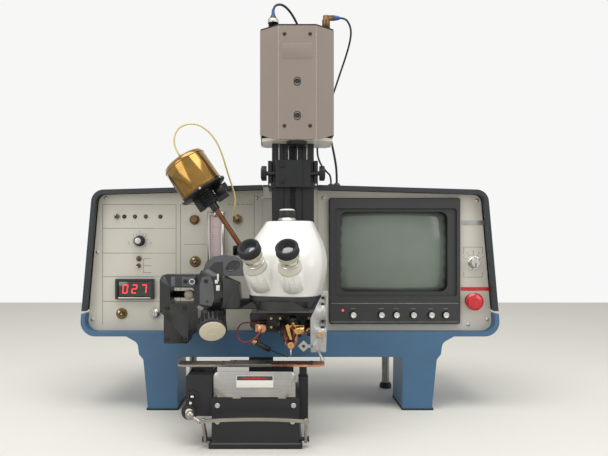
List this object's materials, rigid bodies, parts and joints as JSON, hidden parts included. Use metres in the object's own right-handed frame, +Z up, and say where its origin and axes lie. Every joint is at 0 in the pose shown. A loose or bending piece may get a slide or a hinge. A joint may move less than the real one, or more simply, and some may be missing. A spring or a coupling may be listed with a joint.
{
  "type": "wire bonder",
  "caption": "Bench wire bonder: console on legs with monitor, stereo microscope, camera column, wire spool can, bond head and heated work stage.",
  "frame": {"origin": "on the bench under the work stage, straight below the capillary tip", "axes": "+X to the operator's right along the console's width, +Y away from the operator, +Z up"},
  "size_m": [0.7968, 0.4835, 0.758],
  "materials": {
    "blue_casting": "textured satin paint",
    "hood_paint": "textured satin paint",
    "black_rubber": "matte",
    "zinc_frame": "zinc plated",
    "panel_paint": "satin paint",
    "black_plastic": "matte",
    "bezel_plastic": "moulded",
    "tube_glass": "gloss",
    "satin_metal": "satin",
    "aged_brass": "aged",
    "lamp_red": "gloss",
    "bright_metal": "polished",
    "red_plastic": "gloss",
    "flow_acrylic": "clear acrylic on metal",
    "black_anodised": "anodised",
    "camera_paint": "gloss paint",
    "dark_metal": "satin",
    "cable_black": "smooth",
    "scope_white": "hammered gloss paint",
    "scope_cream": "satin",
    "mount_paint": "painted casting",
    "polished_brass": "polished",
    "tube_yellow": "translucent",
    "lead_red": "smooth",
    "stage_steel": "machined",
    "stage_black": "black anodised"
  },
  "bodies": {
    "machine": {"air_tube": "tube_yellow", "base_casting": "blue_casting", "bond_head_housing": "mount_paint", "center_cover": "panel_paint", "chassis": "zinc_frame", "flow_meter": "flow_acrylic", "foot_pads": "black_rubber", "hood_left": "hood_paint", "hood_right": "hood_paint", "indicator_lamps": "lamp_red", "left_panel": "panel_paint", "monitor_bezel": "bezel_plastic", "monitor_knobs": "satin_metal", "mount_bracket": "mount_paint", "panel_bushes": "aged_brass", "panel_meter": "black_plastic", "picture_tube": "tube_glass", "rear_fittings": "black_plastic", "rear_panel": "panel_paint", "right_panel": "panel_paint", "slide_carriage": "black_anodised", "spool_can": "polished_brass", "spool_motor": "black_anodised", "stage_body": "stage_black", "stage_deck": "stage_steel"},
    "camera_head": {"camera_slide": "black_anodised", "camera_shell": "camera_paint", "camera_body": "dark_metal", "camera_plugs": "black_plastic", "camera_cable": "cable_black", "coax_cable": "cable_black"},
    "pinion": {"slide_pinion": "black_anodised"},
    "microscope": {"microscope_body": "scope_white", "scope_arm": "mount_paint"},
    "zoom_dial": {"zoom_dial": "black_anodised"},
    "left_tube": {"left_eye_tube": "scope_cream"},
    "right_tube": {"right_eye_tube": "scope_cream"},
    "left_eyepiece": {"left_eyepiece": "black_rubber"},
    "right_eyepiece": {"right_eyepiece": "black_rubber"},
    "focus_knob": {"focus_knob": "black_plastic"},
    "fan_rotor": {"fan_rotor": "black_plastic"},
    "row_lever": {"row_switch_lever": "bright_metal"},
    "meter_lever": {"meter_switch_lever": "bright_metal"},
    "power_lever": {"power_switch_lever": "bright_metal"},
    "middle_lever": {"middle_switch_lever": "bright_metal"},
    "stage_lever": {"stage_switch_lever": "bright_metal"},
    "lamp_knob": {"lamp_knob": "black_plastic"},
    "gas_knob": {"gas_knob": "satin_metal"},
    "feed_button": {"feed_button": "aged_brass"},
    "selector_knob": {"selector_knob": "satin_metal"},
    "stop_button": {"stop_button": "red_plastic"},
    "flow_float": {"flow_float": "satin_metal"},
    "wire_spool": {"wire_spool": "satin_metal"},
    "bond_slide": {"bond_slide": "black_anodised", "bracket_plate": "satin_metal", "bond_lead": "lead_red"},
    "transducer": {"transducer": "stage_steel"},
    "wire_clamp": {"wire_clamp": "aged_brass"},
    "flame_wand": {"flame_wand": "black_plastic"},
    "stage_bail": {"stage_bail": "stage_steel"}
  },
  "joints": [
    {"name": "camera_height", "type": "slide", "parent": "machine", "child": "camera_head", "axis": [0, 0, 1], "range_m": [-0.02, 0.02], "deforming": ["camera_cable", "coax_cable"]},
    {"name": "pinion_turn", "type": "hinge", "parent": "machine", "child": "pinion", "pos_m": [0.005, 0.1174, 0.444], "axis": [1, 0, 0], "range_deg": [-170, 170]},
    {"name": "focus_height", "type": "slide", "parent": "machine", "child": "microscope", "axis": [0, 0, 1], "range_m": [-0.01, 0.015]},
    {"name": "focus_turn", "type": "hinge", "parent": "microscope", "child": "focus_knob", "pos_m": [-0.132, 0.026, 0.19], "axis": [0.1605, -0.7824, -0.6018], "range_deg": [-180, 240]},
    {"name": "zoom_turn", "type": "hinge", "parent": "microscope", "child": "zoom_dial", "pos_m": [-0.00585, 0.05614, 0.3548], "axis": [0, 0, 1], "range_deg": [-135, 135]},
    {"name": "left_tube_swing", "type": "hinge", "parent": "microscope", "child": "left_tube", "pos_m": [-0.04899, -0.00069, 0.26096], "axis": [-0.2888, -0.6473, 0.7054], "range_deg": [-15, 15]},
    {"name": "right_tube_swing", "type": "hinge", "parent": "microscope", "child": "right_tube", "pos_m": [0.00225, -0.01773, 0.26096], "axis": [-0.1565, -0.6913, 0.7054], "range_deg": [-16, 16]},
    {"name": "left_dioptre", "type": "hinge", "parent": "left_tube", "child": "left_eyepiece", "pos_m": [-0.04788, 0.00267, 0.2645], "axis": [-0.2888, -0.6473, 0.7054], "range_deg": [-150, 150]},
    {"name": "right_dioptre", "type": "hinge", "parent": "right_tube", "child": "right_eyepiece", "pos_m": [0.00336, -0.01438, 0.2645], "axis": [-0.1565, -0.6913, 0.7054], "range_deg": [-150, 150]},
    {"name": "fan_spin", "type": "hinge", "parent": "machine", "child": "fan_rotor", "pos_m": [0, 0.39, 0.3], "axis": [0, 1, 0], "continuous": true},
    {"name": "row_switch", "type": "hinge", "parent": "machine", "child": "row_lever", "pos_m": [-0.3343, 0.186, 0.369], "axis": [1, 0, 0], "range_deg": [0, 28]},
    {"name": "meter_switch", "type": "hinge", "parent": "machine", "child": "meter_lever", "pos_m": [-0.2925, 0.186, 0.274], "axis": [1, 0, 0], "range_deg": [-28, 0]},
    {"name": "power_switch", "type": "hinge", "parent": "machine", "child": "power_lever", "pos_m": [-0.3252, 0.186, 0.1815], "axis": [1, 0, 0], "range_deg": [0, 34]},
    {"name": "middle_switch", "type": "hinge", "parent": "machine", "child": "middle_lever", "pos_m": [-0.1833, 0.186, 0.282], "axis": [1, 0, 0], "range_deg": [0, 34]},
    {"name": "stage_switch", "type": "hinge", "parent": "machine", "child": "stage_lever", "pos_m": [-0.1533, -0.042, 0.0786], "axis": [1, 0, 0], "range_deg": [-40, 0]},
    {"name": "lamp_turn", "type": "hinge", "parent": "machine", "child": "lamp_knob", "pos_m": [-0.2905, 0.188, 0.322], "axis": [0, 1, 0], "range_deg": [-135, 135]},
    {"name": "gas_turn", "type": "hinge", "parent": "machine", "child": "gas_knob", "pos_m": [-0.259, 0.188, 0.1815], "axis": [0, 1, 0], "range_deg": [-140, 140]},
    {"name": "selector_turn", "type": "hinge", "parent": "machine", "child": "selector_knob", "pos_m": [0.3546, 0.188, 0.2797], "axis": [0, 1, 0], "range_deg": [-60, 60]},
    {"name": "feed_press", "type": "slide", "parent": "machine", "child": "feed_button", "axis": [0, 1, 0], "range_m": [0, 0.003], "stiffness_N_per_m": 400},
    {"name": "stop_press", "type": "slide", "parent": "machine", "child": "stop_button", "axis": [0, 1, 0], "range_m": [0, 0.005], "stiffness_N_per_m": 800},
    {"name": "float_rise", "type": "slide", "parent": "machine", "child": "flow_float", "axis": [0, 0, 1], "range_m": [0, 0.07]},
    {"name": "spool_spin", "type": "hinge", "parent": "machine", "child": "wire_spool", "pos_m": [-0.1575, 0.104, 0.414], "axis": [-0.5592, 0, 0.829], "continuous": true},
    {"name": "bond_cross", "type": "slide", "parent": "machine", "child": "bond_slide", "axis": [1, 0, 0], "range_m": [-0.006, 0.006]},
    {"name": "horn_tilt", "type": "hinge", "parent": "bond_slide", "child": "transducer", "pos_m": [0, 0.04, 0.168], "axis": [1, 0, 0], "range_deg": [-2, 4]},
    {"name": "clamp_swing", "type": "hinge", "parent": "bond_slide", "child": "wire_clamp", "pos_m": [0.004, 0.009, 0.186], "axis": [0, 0, 1], "range_deg": [-3, 3]},
    {"name": "wand_swing", "type": "hinge", "parent": "bond_slide", "child": "flame_wand", "pos_m": [-0.052, 0.014, 0.18], "axis": [0, 0, 1], "range_deg": [-25, 10]},
    {"name": "bail_swing", "type": "hinge", "parent": "machine", "child": "stage_bail", "pos_m": [-0.055, -0.04, 0.0125], "axis": [1, 0, 0], "range_deg": [-15, 40]}
  ],
  "couplings": [
    {"joint": "pinion_turn", "follows": "camera_height", "rad_per_m": 142.86},
    {"joint": "focus_turn", "follows": "focus_height", "rad_per_m": 200},
    {"joint": "right_tube_swing", "follows": "left_tube_swing", "ratio": -1}
  ]
}
